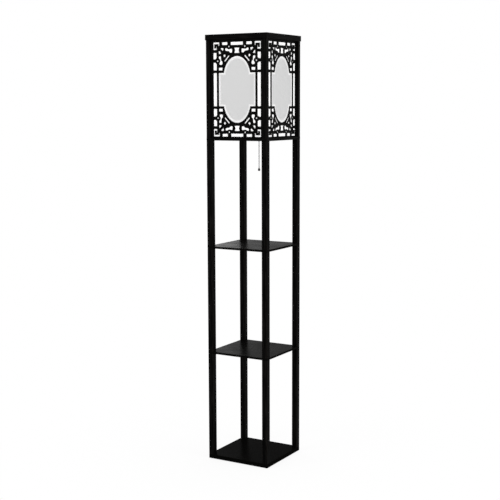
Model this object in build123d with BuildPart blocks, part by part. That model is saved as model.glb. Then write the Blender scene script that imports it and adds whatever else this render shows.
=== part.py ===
# Shelf floor lamp: three open bays between square boards, under a square fretwork shade.
# Millimetres, +Z up, origin on the floor below the middle, front towards -Y.
import math
import os

from build123d import *

# Boards and posts
side = 256  # outside width over the posts
post_section = 22
shade_post_section = 16
bay_height = 394  # clear height between two boards
base_thickness = 16
shelf_thickness = 8
softened_edge = 1  # chamfer along the posts and the boards
pad_side = 20
pad_thickness = 2
pad_inset = 36  # from the board's edge to the middle of a pad

# Shade box
rail_height = 10
panel_visible_height = 354  # from the lower rails to the cap
cap_thickness = 20
cap_overhang = 2
panel_recess = 7  # from the outer face of a post to the fretwork
panel_thickness = 2
diffuser_thickness = 2
groove_depth = 4  # in the rails, for fretwork and diffuser
post_groove_depth = 2.5  # in the posts, for the fretwork alone
slide_fit = 0.2  # play of the panels in their grooves
end_fit = 0.5  # play at the ends of panels, studs and dowels

# Fretwork field inside its panel. Its pattern is stretched across to the field's width.
side_border = 11.5
top_border = 8
bottom_border = 4
bar_margin = 0.75  # from a hole's drawn outline in to its cut edge, for stout bars
window_inset = 23  # from the field's side edge to the window
shoulder_drop = 110  # from the field's top edge to the window's shoulders
arch_inset = 44  # from the field's side edge to the oval head of the window
arch_drop = 50.5  # from the field's top edge to the top of the head
arch_rise = 76  # from the widest level of the head to its top
arch_sides = 36
middle_hole_width = 55  # long hole over the middle
middle_hole_height = 12.5
middle_hole_gap = 12.5  # to the next hole along the top edge
waist_width = 17  # pinched hole between the brackets
waist_ends = 25
waist_height = 20
waist_drop = 31  # from the field's top edge to its middle
side_hole_width = 16  # long hole beside the window
ring_hole_radius = 3.3
ring_sides = 6

# Studs, bolts and dowels that join the tiers
stud_radius = 3.5
stud_depth = 22  # length inside each post
stud_fit = 0.2
bolt_head_radius = 6
bolt_head_height = 4
bolt_head_fit = 0.5
dowel_radius = 4
dowel_depth = 12
rail_dowel_radius = 2.5
rail_dowel_depth = 8
rail_dowel_inset = 3.5  # from the outer face to the middle of a rail dowel
rod_sides = 6  # studs, dowels, bolts and beads are drawn six-sided

# Lamp holder, its round pieces drawn with flats
round_sides = 24
small_sides = 12
strap_width = 20
strap_thickness = 2.5
strap_rise = 20
screw_radius = 1.75
screw_height = 3.5  # above the underside of the lower rails
screw_length = 14
screw_head_radius = 3.5
screw_head_height = 2
nipple_radius = 5
nipple_bore = 3.5
nipple_below = 8
nipple_above = 10
nut_radius = 8
nut_height = 4
holder_fit = 0.2
cup_foot_radius = 12
cup_height = 20
shell_radius = 19.5
shell_wall = 2.3
shell_height = 44
body_height = 24
lamp_thread_radius = 13
thread_fit = 0.5
thread_wall = 0.7
contact_radius = 4
contact_height = 3

# Pull switch and chain
chain_clearance = 3  # from the shell to the middle of the chain
pull_pitch_radius = 8  # spool centre to the middle of the chain
spool_drum_radius = 5.7
spool_flange_radius = 8.5
spool_gap = 4.6  # between the flanges
spool_flange = 1.4
spool_room = 1
pin_radius = 1.2
running_fit = 0.07
spool_level = 13  # above the underside of the switch body
guide_wall = 1.5
guide_below = 4
guide_hole_radius = 2.4
guide_room = 3  # from the chain to the inside of the guide
bead_radius = 1.9
bead_length = 3.8
bead_flat = 1.4  # length of a bead's widest part
bead_pitch = 4.6
link_radius = 0.6
chain_gap = 0.4  # between the lead and the hanging chain
chain_length = 138  # of the hanging chain
knob_steps = [(1.5, 3.2, 4.4), (6, 4.4, 4), (3, 4, 1.8)]  # height, radii at its ends

# Lamp bulb
tip_radius = 4.5
tip_height = 3
tip_gap = 0.2
bulb_cap_height = 22
bulb_steps = [(12, 13.5, 16), (18, 16, 27.5), (10, 27.5, 30)]  # neck to belly
bulb_steps += [(10, 30, 27.5), (8, 27.5, 20), (6, 20, 8)]  # belly to crown

# Levels
base_top = pad_thickness + base_thickness
lower_shelf_level = base_top + bay_height
upper_shelf_level = lower_shelf_level + shelf_thickness + bay_height
shade_level = upper_shelf_level + shelf_thickness + bay_height
panel_level = shade_level + rail_height
cap_level = panel_level + panel_visible_height
strap_top = shade_level + strap_rise
screw_level = shade_level + screw_height
body_level = strap_top + cup_height
thread_level = body_level + body_height

# Places in plan
half_side = side / 2
half_opening = half_side - post_section
post_centre = half_side - post_section / 2
shade_half_opening = half_side - shade_post_section
shade_post_centre = half_side - shade_post_section / 2
groove_near = panel_recess - slide_fit
groove_far = panel_recess + panel_thickness + diffuser_thickness + slide_fit
groove_middle = half_side - (groove_near + groove_far) / 2
groove_width = groove_far - groove_near
post_groove_middle = half_side - panel_recess - panel_thickness / 2
post_groove_width = panel_thickness + 2 * slide_fit
tongue_half = half_opening - end_fit
corners = {
    "front_left": (-1, -1),
    "front_right": (1, -1),
    "back_left": (-1, 1),
    "back_right": (1, 1),
}
corner_points = [(x * post_centre, y * post_centre) for x, y in corners.values()]
shade_points = [(x * shade_post_centre, y * shade_post_centre) for x, y in corners.values()]
faces = {"front": 0, "right": 90, "back": 180, "left": 270}  # turn from the front

os.makedirs("parts", exist_ok=True)


def keep(builder, name):
    builder.part.label = name
    export_step(builder.part, f"parts/{name}.step")


# Square boards with one hole for a stud at each corner
def board(name, level, thickness, counterbored=False):
    with BuildPart() as piece:
        with BuildSketch(Plane.XY.offset(level)):
            Rectangle(side, side)
        extrude(amount=thickness)
        chamfer(piece.edges(), softened_edge)
        with BuildSketch(Plane.XY.offset(level)):
            with Locations(*corner_points):
                RegularPolygon(stud_radius + stud_fit, rod_sides)
        extrude(amount=thickness, mode=Mode.SUBTRACT)
        if counterbored:
            with BuildSketch(Plane.XY.offset(level)):
                with Locations(*corner_points):
                    RegularPolygon(bolt_head_radius + bolt_head_fit, rod_sides)
            extrude(amount=bolt_head_height + bolt_head_fit, mode=Mode.SUBTRACT)
    keep(piece, name)


board("base_board", pad_thickness, base_thickness, counterbored=True)
board("lower_shelf", lower_shelf_level, shelf_thickness)
board("upper_shelf", upper_shelf_level, shelf_thickness)

pad_place = half_side - pad_inset
with BuildPart() as foot_pads:
    with BuildSketch():
        with GridLocations(2 * pad_place, 2 * pad_place, 2, 2):
            Rectangle(pad_side, pad_side)
    extrude(amount=pad_thickness)
keep(foot_pads, "foot_pads")


# Posts with a blind hole for a stud or dowel in each end: end, depth, radius, distance out.
# The shade's posts are slimmer, flush outside with the ones below, and grooved for the panels.
def post(name, signs, level, length, section, holes, grooved=False):
    out = half_side - section / 2
    with BuildPart() as piece:
        with BuildSketch(Plane.XY.offset(level)):
            with Locations((signs[0] * out, signs[1] * out)):
                Rectangle(section, section)
        extrude(amount=length)
        chamfer(piece.edges().filter_by(Axis.Z), softened_edge)
        if grooved:
            inner = half_side - section + post_groove_depth / 2
            with BuildSketch(Plane.XY.offset(level)):
                with Locations((signs[0] * inner, signs[1] * post_groove_middle)):
                    Rectangle(post_groove_depth, post_groove_width)
                with Locations((signs[0] * post_groove_middle, signs[1] * inner)):
                    Rectangle(post_groove_width, post_groove_depth)
            extrude(amount=length, mode=Mode.SUBTRACT)
        for end, depth, radius, place in holes:
            with BuildSketch(Plane.XY.offset(end)):
                with Locations((signs[0] * place, signs[1] * place)):
                    RegularPolygon(radius, rod_sides)
            extrude(amount=depth, mode=Mode.SUBTRACT)
    keep(piece, name)


stud_hole = stud_radius + stud_fit
stud_hole_depth = stud_depth + end_fit
tiers = {
    "lower": (base_top, post_centre),
    "middle": (lower_shelf_level + shelf_thickness, post_centre),
    "upper": (upper_shelf_level + shelf_thickness, shade_post_centre),
}
for tier, (level, top_place) in tiers.items():
    for corner, signs in corners.items():
        holes = [
            (level, stud_hole_depth, stud_hole, post_centre),
            (level + bay_height, -stud_hole_depth, stud_hole, top_place),
        ]
        post(f"{tier}_post_{corner}", signs, level, bay_height, post_section, holes)
for corner, signs in corners.items():
    holes = [
        (panel_level, stud_hole_depth, stud_hole, shade_post_centre),
        (cap_level, -dowel_depth - end_fit, dowel_radius + stud_fit, shade_post_centre),
    ]
    name = f"shade_post_{corner}"
    post(name, signs, panel_level, panel_visible_height, shade_post_section, holes, grooved=True)


# Groups of six-sided rods: upright ones at the corners, and ones along Y that pin the rails
def rods(name, points, uprights, crossings=()):
    with BuildPart() as piece:
        for low, length, radius in uprights:
            with BuildSketch(Plane.XY.offset(low)):
                with Locations(*points):
                    RegularPolygon(radius, rod_sides)
            extrude(amount=length)
        for place, level in crossings:
            for end in (-1, 1):
                with BuildSketch(Plane.XZ.offset(-end * half_opening)):
                    with Locations((-place, level), (place, level)):
                        RegularPolygon(rail_dowel_radius, rod_sides)
                extrude(amount=rail_dowel_depth, both=True)
    keep(piece, name)


stud_length = shelf_thickness + 2 * stud_depth
shelf_stud_ends = [lower_shelf_level - stud_depth, upper_shelf_level - stud_depth]
shelf_studs = [(low, stud_length, stud_radius) for low in shelf_stud_ends]
shade_stud = (shade_level - stud_depth, rail_height + 2 * stud_depth, stud_radius)
rods("shelf_studs", corner_points, shelf_studs)
rods("shade_studs", shade_points, [shade_stud])

bolt_top = base_top + stud_depth
with BuildPart() as base_bolts:
    with BuildSketch(Plane.XY.offset(pad_thickness + bolt_head_fit)):
        with Locations(*corner_points):
            RegularPolygon(bolt_head_radius, rod_sides)
    extrude(amount=bolt_head_height)
    with BuildSketch(Plane.XY.offset(bolt_top)):
        with Locations(*corner_points):
            RegularPolygon(stud_radius, rod_sides)
    extrude(amount=pad_thickness + bolt_head_fit + bolt_head_height - bolt_top)
keep(base_bolts, "base_bolts")


# Frame rails of the shade: long ones at the front and back, short ones butted between them.
# A rail's groove holds the tongues of its panel, and dowels along Y pin the butted ends.
def rail(name, way, level, height, overhang, groove_level, corner_hole, screwed=False):
    width = post_section + overhang
    middle = half_opening + width / 2
    dowel_place = half_side + overhang - rail_dowel_inset
    dowel_level = level + height / 2
    is_long = way in ("front", "back")
    sign = -1 if way in ("front", "left") else 1
    with BuildPart() as piece:
        with BuildSketch(Plane.XY.offset(level)):
            if is_long:
                with Locations((0, sign * middle)):
                    Rectangle(side + 2 * overhang, width)
            else:
                with Locations((sign * middle, 0)):
                    Rectangle(width, 2 * half_opening)
        extrude(amount=height)
        with BuildSketch(Plane.XY.offset(groove_level)):
            if is_long:
                with Locations((0, sign * groove_middle)):
                    Rectangle(2 * half_opening, groove_width)
            else:
                with Locations((sign * groove_middle, 0)):
                    Rectangle(groove_width, 2 * half_opening)
        extrude(amount=groove_depth, mode=Mode.SUBTRACT)
        if is_long:
            radius, depth = corner_hole
            with BuildSketch(Plane.XY.offset(level)):
                corner = (shade_post_centre, sign * shade_post_centre)
                with Locations(corner, (-corner[0], corner[1])):
                    RegularPolygon(radius, rod_sides)
            extrude(amount=depth, mode=Mode.SUBTRACT)
            with BuildSketch(Plane.XZ.offset(-sign * half_opening)):
                with Locations((-dowel_place, dowel_level), (dowel_place, dowel_level)):
                    RegularPolygon(rail_dowel_radius + stud_fit, rod_sides)
            extrude(amount=-sign * (rail_dowel_depth + end_fit), mode=Mode.SUBTRACT)
            if screwed:
                with BuildSketch(Plane.XZ.offset(-sign * half_opening)):
                    with Locations((0, screw_level)):
                        RegularPolygon(screw_radius + stud_fit, rod_sides)
                extrude(amount=-sign * screw_length, mode=Mode.SUBTRACT)
        else:
            for end in (-1, 1):
                with BuildSketch(Plane.XZ.offset(-end * half_opening)):
                    with Locations((sign * dowel_place, dowel_level)):
                        RegularPolygon(rail_dowel_radius + stud_fit, rod_sides)
                extrude(amount=end * (rail_dowel_depth + end_fit), mode=Mode.SUBTRACT)
    keep(piece, f"{name}_{way}")


rail_hole = (stud_hole, rail_height)
cap_hole = (dowel_radius + stud_fit, dowel_depth + end_fit)
rail_groove_level = panel_level - groove_depth
for way in faces:
    rail("shade_rail", way, shade_level, rail_height, 0, rail_groove_level, rail_hole, screwed=True)
    rail("cap_rail", way, cap_level, cap_thickness, cap_overhang, cap_level, cap_hole)

rail_dowel = (half_side - rail_dowel_inset, shade_level + rail_height / 2)
rods("shade_rail_dowels", shade_points, [], [rail_dowel])
cap_dowel = (cap_level - dowel_depth, 2 * dowel_depth, dowel_radius)
cap_rail_dowel = (half_side + cap_overhang - rail_dowel_inset, cap_level + cap_thickness / 2)
rods("cap_dowels", shade_points, [cap_dowel], [cap_rail_dowel])

# Fretwork: the holes of one quarter, mirrored, and the ones on the centre lines.
# Points are measured in from the field's corner: across, then down.
corner_hook = [(27.5, 0), (0, 0), (0, 28.5), (16, 28.5), (16, 14), (12, 14)]
corner_hook += [(12, 21.5), (5.5, 21.5), (5.5, 7.5), (22, 7.5), (22, 14.5), (27.5, 14.5)]
cloud = [(84, 39), (74.5, 40), (67.5, 33.5), (57.5, 33), (51.5, 30), (52, 22)]
cloud += [(58.5, 21.5), (65.5, 25.5), (72.5, 25.5), (78.5, 23.5), (84, 26)]
wave = [(34.5, 50), (23.5, 50), (23.5, 58), (29, 63), (30, 69), (25.5, 75.5)]
wave += [(26.5, 81.5), (37.5, 83), (42.5, 77), (40.5, 70), (36, 65.5)]
top_hole = [(63.5, 0), (63.5, 11.5), (38, 11.5), (38, 0)]
quarter_outlines = [
    corner_hook,
    cloud,
    wave,
    top_hole,
    [(15.5, 37.5), (0, 37.5), (0, 62), (10, 62), (15.5, 57)],  # side edge, over the ring
    [(16, 102), (0, 102), (0, 72.5), (9.5, 72.5), (16, 77.5)],  # side edge, under the ring
    [(41, 102.5), (23.5, 102.5), (23.5, 91), (42, 91)],  # on the shoulder
    [(34.5, 43), (23.5, 43), (23.5, 31.5), (27, 30.5), (34.5, 38)],  # under the diagonal
    [(45.5, 21), (33.5, 20.5), (32, 24), (41.5, 32.5), (45.5, 30)],  # over the diagonal
    [(56, 49.5), (49.5, 56.5), (43, 49), (49.5, 42)],  # small diamond
    [(72.5, 50.5), (67.5, 46.5), (47.5, 67.5), (51.5, 72.5)],  # slit along the arch
]
ring_holes = [(69, 17), (19.5, 68)]

field_half_width = shade_half_opening - side_border
field_half_height = (panel_visible_height - top_border - bottom_border) / 2
field_level = panel_level + bottom_border + field_half_height
panel_middle = panel_level + panel_visible_height / 2 - field_level
panel_half_width = shade_half_opening + post_groove_depth - slide_fit
diffuser_half_width = shade_half_opening - end_fit
pattern_half_width = top_hole[0][0] + middle_hole_gap + middle_hole_width / 2
stretch = field_half_width / pattern_half_width
window_half_width = field_half_width - window_inset * stretch - bar_margin
shoulder = field_half_height - shoulder_drop - bar_margin
arch_half_width = field_half_width - arch_inset * stretch - bar_margin
arch_centre = field_half_height - arch_drop - bar_margin - arch_rise
arch_angles = [math.tau * step / arch_sides for step in range(arch_sides)]
arch_outline = [(arch_half_width * math.cos(a), arch_rise * math.sin(a)) for a in arch_angles]
waist_level = field_half_height - waist_drop
half_end = waist_ends * stretch / 2
half_waist = waist_width * stretch / 2
waist_top = waist_height / 2
waist_outline = [(half_end, waist_top), (half_waist, 0), (half_end, -waist_top)]
waist_outline += [(-half_end, -waist_top), (-half_waist, 0), (-half_end, waist_top)]


# Each side of an outline moves in by the margin, and neighbouring sides meet again
def taken_in(points):
    outline = [Vector(*point) for point in points]
    ends = outline[1:] + outline[:1]
    doubled_area = sum(start.cross(end).Z for start, end in zip(outline, ends))
    turn = math.copysign(90, doubled_area)
    inward = [(end - start).normalized().rotate(Axis.Z, turn) for start, end in zip(outline, ends)]
    inner = []
    for corner, before, after in zip(outline, inward[-1:] + inward[:-1], inward):
        inner.append(corner + (before + after) * (bar_margin / (1 + before.dot(after))))
    return inner


def from_corner(points):
    return [(field_half_width - across * stretch, field_half_height - down) for across, down in points]


with BuildSketch() as quarter_holes:
    for outline in quarter_outlines:
        with BuildLine():
            Polyline(*taken_in(from_corner(outline)), close=True)
        make_face()
    with Locations(*from_corner(ring_holes)):
        RegularPolygon(ring_hole_radius, ring_sides)

with BuildSketch() as centre_holes:
    Rectangle(2 * window_half_width, 2 * shoulder)
    for edge in (-1, 1):
        with BuildLine():
            Polyline(*[(across, edge * arch_centre + rise) for across, rise in arch_outline], close=True)
        make_face()
        with Locations((edge * (field_half_width - side_hole_width * stretch / 2), 0)):
            Rectangle(side_hole_width * stretch - 2 * bar_margin, 2 * shoulder)
        with Locations((0, edge * (field_half_height - middle_hole_height / 2))):
            Rectangle(middle_hole_width * stretch - 2 * bar_margin, middle_hole_height - 2 * bar_margin)
        waist = [(across, edge * waist_level + rise) for across, rise in waist_outline]
        with BuildLine():
            Polyline(*taken_in(waist), close=True)
        make_face()


# A sheet with a tongue along its top and bottom edges
def sheet(half_width):
    with BuildSketch() as blank:
        with Locations((0, panel_middle)):
            Rectangle(2 * half_width, panel_visible_height)
            Rectangle(2 * tongue_half, panel_visible_height + 2 * groove_depth)
    return blank.sketch


with BuildSketch() as fretwork:
    add(sheet(panel_half_width))
    add(quarter_holes.sketch, mode=Mode.SUBTRACT)
    add(quarter_holes.sketch.mirror(Plane.YZ), mode=Mode.SUBTRACT)
    add(quarter_holes.sketch.mirror(Plane.XZ), mode=Mode.SUBTRACT)
    add(quarter_holes.sketch.mirror(Plane.YZ).mirror(Plane.XZ), mode=Mode.SUBTRACT)
    add(centre_holes.sketch, mode=Mode.SUBTRACT)


def face_plane(way, depth):
    turn = math.radians(faces[way])
    outward = Vector(math.sin(turn), -math.cos(turn), 0)
    origin = outward * (half_side - depth) + Vector(0, 0, field_level)
    return Plane(origin, x_dir=(math.cos(turn), math.sin(turn), 0), z_dir=outward)


for way in faces:
    with BuildPart() as fret_panel:
        with BuildSketch(face_plane(way, panel_recess)):
            add(fretwork.sketch)
        extrude(amount=-panel_thickness)
    keep(fret_panel, f"fret_panel_{way}")

    with BuildPart() as diffuser:
        with BuildSketch(face_plane(way, panel_recess + panel_thickness)):
            add(sheet(diffuser_half_width))
        extrude(amount=-diffuser_thickness)
    keep(diffuser, f"diffuser_{way}")


# A turned form drawn with flats: each step has its height and the radii at its two ends
def turned(level, steps, sides, centre=(0, 0)):
    with BuildPart() as form:
        for height, low_radius, high_radius in steps:
            lean = math.atan((low_radius - high_radius) * math.cos(math.pi / sides) / height)
            with BuildPart() as step:
                with BuildSketch(Plane.XY.offset(level)):
                    with Locations(centre):
                        RegularPolygon(low_radius, sides)
                extrude(amount=height)
                if low_radius != high_radius:
                    flats = step.faces().sort_by(Axis.Z)[1:-1]
                    draft(flats, Plane.XY.offset(level), math.degrees(lean))
            level += height
    return form.part


# Strap that carries the lamp holder, bent down at both ends and screwed to the lower rails
strap_inside = half_opening - strap_thickness
with BuildPart() as socket_strap:
    with BuildSketch(Plane.YZ):
        with Locations((0, shade_level + strap_rise / 2)):
            Rectangle(2 * half_opening, strap_rise)
        with Locations((0, shade_level + (strap_rise - strap_thickness) / 2)):
            Rectangle(2 * strap_inside, strap_rise - strap_thickness, mode=Mode.SUBTRACT)
    extrude(amount=strap_width / 2, both=True)
    with BuildSketch(Plane.XY.offset(strap_top)):
        RegularPolygon(nipple_radius + holder_fit, small_sides)
    extrude(amount=-strap_thickness, mode=Mode.SUBTRACT)
    with BuildSketch(Plane.XZ):
        with Locations((0, screw_level)):
            RegularPolygon(screw_radius + holder_fit, rod_sides)
    extrude(amount=half_opening, both=True, mode=Mode.SUBTRACT)
keep(socket_strap, "socket_strap")

with BuildPart() as strap_screws:
    for end in (-1, 1):
        for radius, length in ((screw_head_radius, -screw_head_height), (screw_radius, screw_length)):
            with BuildSketch(Plane.XZ.offset(-end * strap_inside)):
                with Locations((0, screw_level)):
                    RegularPolygon(radius, rod_sides)
            extrude(amount=-end * length)
keep(strap_screws, "strap_screws")

strap_underside = strap_top - strap_thickness
nipple_end = strap_underside - nipple_below
with BuildPart() as threaded_nipple:
    with BuildSketch(Plane.XY.offset(nipple_end)):
        RegularPolygon(nipple_radius, small_sides)
        RegularPolygon(nipple_bore, small_sides, mode=Mode.SUBTRACT)
    extrude(amount=strap_top + nipple_above - nipple_end)
keep(threaded_nipple, "threaded_nipple")

with BuildPart() as lock_nut:
    with BuildSketch(Plane.XY.offset(strap_underside)):
        RegularPolygon(nut_radius, rod_sides)
        RegularPolygon(nipple_radius + holder_fit, small_sides, mode=Mode.SUBTRACT)
    extrude(amount=-nut_height)
keep(lock_nut, "lock_nut")

with BuildPart() as socket_cup:
    add(turned(strap_top, [(cup_height, cup_foot_radius, shell_radius)], round_sides))
    with BuildSketch(Plane.XY.offset(strap_top)):
        RegularPolygon(nipple_radius + holder_fit, small_sides)
    extrude(amount=cup_height, mode=Mode.SUBTRACT)
keep(socket_cup, "socket_cup")

# Insulating body with a slot for the spool, and the shell round it
pull_offset = shell_radius + chain_clearance
spool_place = pull_offset - pull_pitch_radius
spool_centre = body_level + spool_level
slot_reach = spool_flange_radius + spool_room
slot_width = spool_gap + 2 * (spool_flange + spool_room)
body_radius = shell_radius - shell_wall - holder_fit
flat_distance = body_radius * math.cos(math.pi / round_sides)
half_pin = math.sqrt(flat_distance**2 - (spool_place + pin_radius) ** 2)
with BuildPart() as socket_body:
    with BuildSketch(Plane.XY.offset(body_level)):
        RegularPolygon(body_radius, round_sides)
    extrude(amount=body_height)
    with BuildSketch(Plane.YZ.offset(spool_place - slot_reach)):
        with Locations((0, spool_centre)):
            Rectangle(slot_width, 2 * slot_reach)
    extrude(amount=2 * slot_reach, mode=Mode.SUBTRACT)
    with BuildSketch(Plane.XZ):
        with Locations((spool_place, spool_centre)):
            Circle(pin_radius)
    extrude(amount=half_pin, both=True, mode=Mode.SUBTRACT)
keep(socket_body, "socket_body")

with BuildPart() as socket_shell:
    with BuildSketch(Plane.XY.offset(body_level)):
        RegularPolygon(shell_radius, round_sides)
        RegularPolygon(shell_radius - shell_wall, round_sides, mode=Mode.SUBTRACT)
    extrude(amount=shell_height)
    with BuildSketch(Plane.YZ):
        with Locations((0, spool_centre)):
            Rectangle(slot_width, 2 * slot_reach)
    extrude(amount=2 * shell_radius, mode=Mode.SUBTRACT)
keep(socket_shell, "socket_shell")

thread_bore = lamp_thread_radius + thread_fit
with BuildPart() as lamp_thread:
    with BuildSketch(Plane.XY.offset(thread_level)):
        RegularPolygon(thread_bore + thread_wall, round_sides)
        RegularPolygon(thread_bore, round_sides, mode=Mode.SUBTRACT)
    extrude(amount=shell_height - body_height)
keep(lamp_thread, "lamp_thread")

with BuildPart() as centre_contact:
    add(turned(thread_level, [(contact_height, contact_radius, contact_radius)], small_sides))
keep(centre_contact, "centre_contact")

# Chain guide: a small box on the side of the shell, open to the spool and below to the chain
guide_low = body_level - guide_below
guide_high = spool_centre + slot_reach + guide_wall
guide_reach = pull_offset + guide_room
with BuildPart() as chain_guide:
    with BuildSketch(Plane.XY.offset(guide_low)):
        with Locations(((guide_reach + guide_wall) / 2, 0)):
            Rectangle(guide_reach + guide_wall, slot_width + 2 * guide_wall)
        RegularPolygon(shell_radius, round_sides, mode=Mode.SUBTRACT)
    extrude(amount=guide_high - guide_low)
    with BuildSketch(Plane.XY.offset(guide_low + guide_wall)):
        with Locations((guide_reach / 2, 0)):
            Rectangle(guide_reach, slot_width)
    extrude(amount=guide_high - guide_low - 2 * guide_wall, mode=Mode.SUBTRACT)
    with BuildSketch(Plane.XY.offset(guide_low)):
        with Locations((pull_offset, 0)):
            RegularPolygon(guide_hole_radius, small_sides)
    extrude(amount=guide_wall, mode=Mode.SUBTRACT)
keep(chain_guide, "chain_guide")

with BuildPart() as switch_spool:
    with BuildSketch(Plane.XZ):
        with Locations((spool_place, spool_centre)):
            RegularPolygon(spool_flange_radius, round_sides)
    extrude(amount=spool_gap / 2 + spool_flange, both=True)
    with BuildSketch(Plane.XZ):
        with Locations((spool_place, spool_centre)):
            RegularPolygon(spool_flange_radius, round_sides)
            RegularPolygon(spool_drum_radius, round_sides, mode=Mode.SUBTRACT)
    extrude(amount=spool_gap / 2, both=True, mode=Mode.SUBTRACT)
    with BuildSketch(Plane.XZ):
        with Locations((spool_place, spool_centre)):
            Circle(pin_radius + running_fit)
    extrude(amount=spool_gap, both=True, mode=Mode.SUBTRACT)
keep(switch_spool, "switch_spool")

with BuildPart() as spool_pin:
    with BuildSketch(Plane.XZ):
        with Locations((spool_place, spool_centre)):
            Circle(pin_radius)
    extrude(amount=half_pin, both=True)
keep(spool_pin, "spool_pin")


# Bead chain: barrel beads, each with the link that runs up to the next one
bead_taper = (bead_length - bead_flat) / 2
bead_steps = [
    (bead_taper, link_radius, bead_radius),
    (bead_flat, bead_radius, bead_radius),
    (bead_taper, bead_radius, link_radius),
]
link_step = (bead_pitch - bead_length, link_radius, link_radius)


def bead_chain(name, low, beads):
    linked_bead = turned(low, [*bead_steps, link_step], rod_sides, (pull_offset, 0))
    last_level = low + (beads - 1) * bead_pitch
    with BuildPart() as piece:
        with Locations(*[(0, 0, count * bead_pitch) for count in range(beads - 1)]):
            add(linked_bead)
        add(turned(last_level, bead_steps, rod_sides, (pull_offset, 0)))
    keep(piece, name)


knob_height = sum(step[0] for step in knob_steps)
lead_top = spool_centre + bead_radius
lead_beads = math.ceil((lead_top - guide_low) / bead_pitch)
lead_end = lead_top - (lead_beads - 1) * bead_pitch - bead_length
chain_beads = round(chain_length / bead_pitch)
chain_end = lead_end - chain_gap - (chain_beads - 1) * bead_pitch - bead_length
bead_chain("chain_lead", lead_end, lead_beads)
bead_chain("pull_chain", chain_end, chain_beads)

with BuildPart() as chain_knob:
    add(turned(chain_end - knob_height, knob_steps, small_sides, (pull_offset, 0)))
keep(chain_knob, "chain_knob")

# Bulb
tip_level = thread_level + contact_height + tip_gap
bulb_cap_level = tip_level + tip_height
globe_level = bulb_cap_level + bulb_cap_height
with BuildPart() as bulb_tip:
    with BuildSketch(Plane.XY.offset(tip_level)):
        Circle(tip_radius)
    extrude(amount=tip_height)
keep(bulb_tip, "bulb_tip")

with BuildPart() as bulb_cap:
    add(turned(bulb_cap_level, [(bulb_cap_height, lamp_thread_radius, lamp_thread_radius)], round_sides))
keep(bulb_cap, "bulb_cap")

with BuildPart() as bulb_globe:
    add(turned(globe_level, bulb_steps, round_sides))
keep(bulb_globe, "bulb_globe")
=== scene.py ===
import math

import bmesh
import bpy
from mathutils import Matrix, Vector


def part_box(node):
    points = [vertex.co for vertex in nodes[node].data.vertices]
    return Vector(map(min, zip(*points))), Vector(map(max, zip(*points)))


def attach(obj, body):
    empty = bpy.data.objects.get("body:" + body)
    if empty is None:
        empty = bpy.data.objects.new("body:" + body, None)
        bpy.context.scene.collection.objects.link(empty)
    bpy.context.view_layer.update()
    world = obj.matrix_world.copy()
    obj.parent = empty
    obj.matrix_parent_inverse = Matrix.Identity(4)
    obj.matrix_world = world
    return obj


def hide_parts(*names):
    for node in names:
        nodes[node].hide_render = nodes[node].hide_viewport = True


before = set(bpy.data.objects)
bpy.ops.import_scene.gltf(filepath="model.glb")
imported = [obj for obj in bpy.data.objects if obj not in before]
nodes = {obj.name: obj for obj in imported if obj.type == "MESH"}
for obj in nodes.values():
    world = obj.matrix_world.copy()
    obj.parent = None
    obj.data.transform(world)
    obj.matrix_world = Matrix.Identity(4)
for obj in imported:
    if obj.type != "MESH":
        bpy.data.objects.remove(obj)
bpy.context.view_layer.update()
mm = 0.001
seamGap = 0.001 * mm  # points this close are one point that a seam has split
fineGap = 0.01 * mm  # lengths under this count as nothing
facing = 0.9  # a face looks along an axis when this much of its normal does
xAxis, yAxis, zAxis = range(3)
print("frame loaded:", len(nodes), "nodes")


# Colours are written as sRGB hex and turned to linear here
def srgb(code):
    channels = [int(code[start:start + 2], 16) / 255 for start in (1, 3, 5)]
    linear = [c / 12.92 if c <= 0.04045 else ((c + 0.055) / 1.055) ** 2.4 for c in channels]
    return (*linear, 1.0)


# The scale of a pattern, from its size in millimetres
def scaleFor(sizeMm):
    return 1 / (sizeMm * mm)


# Adds one node with its settings, and links or values for its sockets.
# On a mix, socket 0 is the share, 2 and 3 are numbers, 6 and 7 are colours, and output 2 is a colour.
def addNode(tree, kind, sockets=None, **settings):
    node = tree.nodes.new(kind)
    for name, value in settings.items():
        setattr(node, name, value)
    for socket, value in (sockets or {}).items():
        if isinstance(value, bpy.types.NodeSocket):
            tree.links.new(value, node.inputs[socket])
        else:
            node.inputs[socket].default_value = value
    return node


# An empty material, with the node that gives a place and a normal on the piece
def newMaterial(name):
    material = bpy.data.materials.new(name)
    material.use_nodes = True
    material.node_tree.nodes.clear()
    return material, material.node_tree, addNode(material.node_tree, "ShaderNodeTexCoord")


# Parts of a noise pattern's values that are spread over a range of roughness or tone
mostNoise = {"From Min": 0.35, "From Max": 0.65}
allNoise = {"From Min": 0.3, "From Max": 0.7}


# How far a face is turned from the three main directions: 0 on flats, 1 on chamfers and rounds,
# from 10 to 41 degrees
def turnedEdge(tree, place):
    size = addNode(tree, "ShaderNodeVectorMath", {0: place.outputs["Normal"]}, operation="ABSOLUTE")
    axes = addNode(tree, "ShaderNodeSeparateXYZ", {0: size.outputs[0]})
    pair = addNode(tree, "ShaderNodeMath", {0: axes.outputs[0], 1: axes.outputs[1]}, operation="MAXIMUM")
    most = addNode(tree, "ShaderNodeMath", {0: pair.outputs[0], 1: axes.outputs[2]}, operation="MAXIMUM")
    return addNode(tree, "ShaderNodeMapRange", {
        "Value": most.outputs[0], "From Min": 0.985, "From Max": 0.75})


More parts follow.
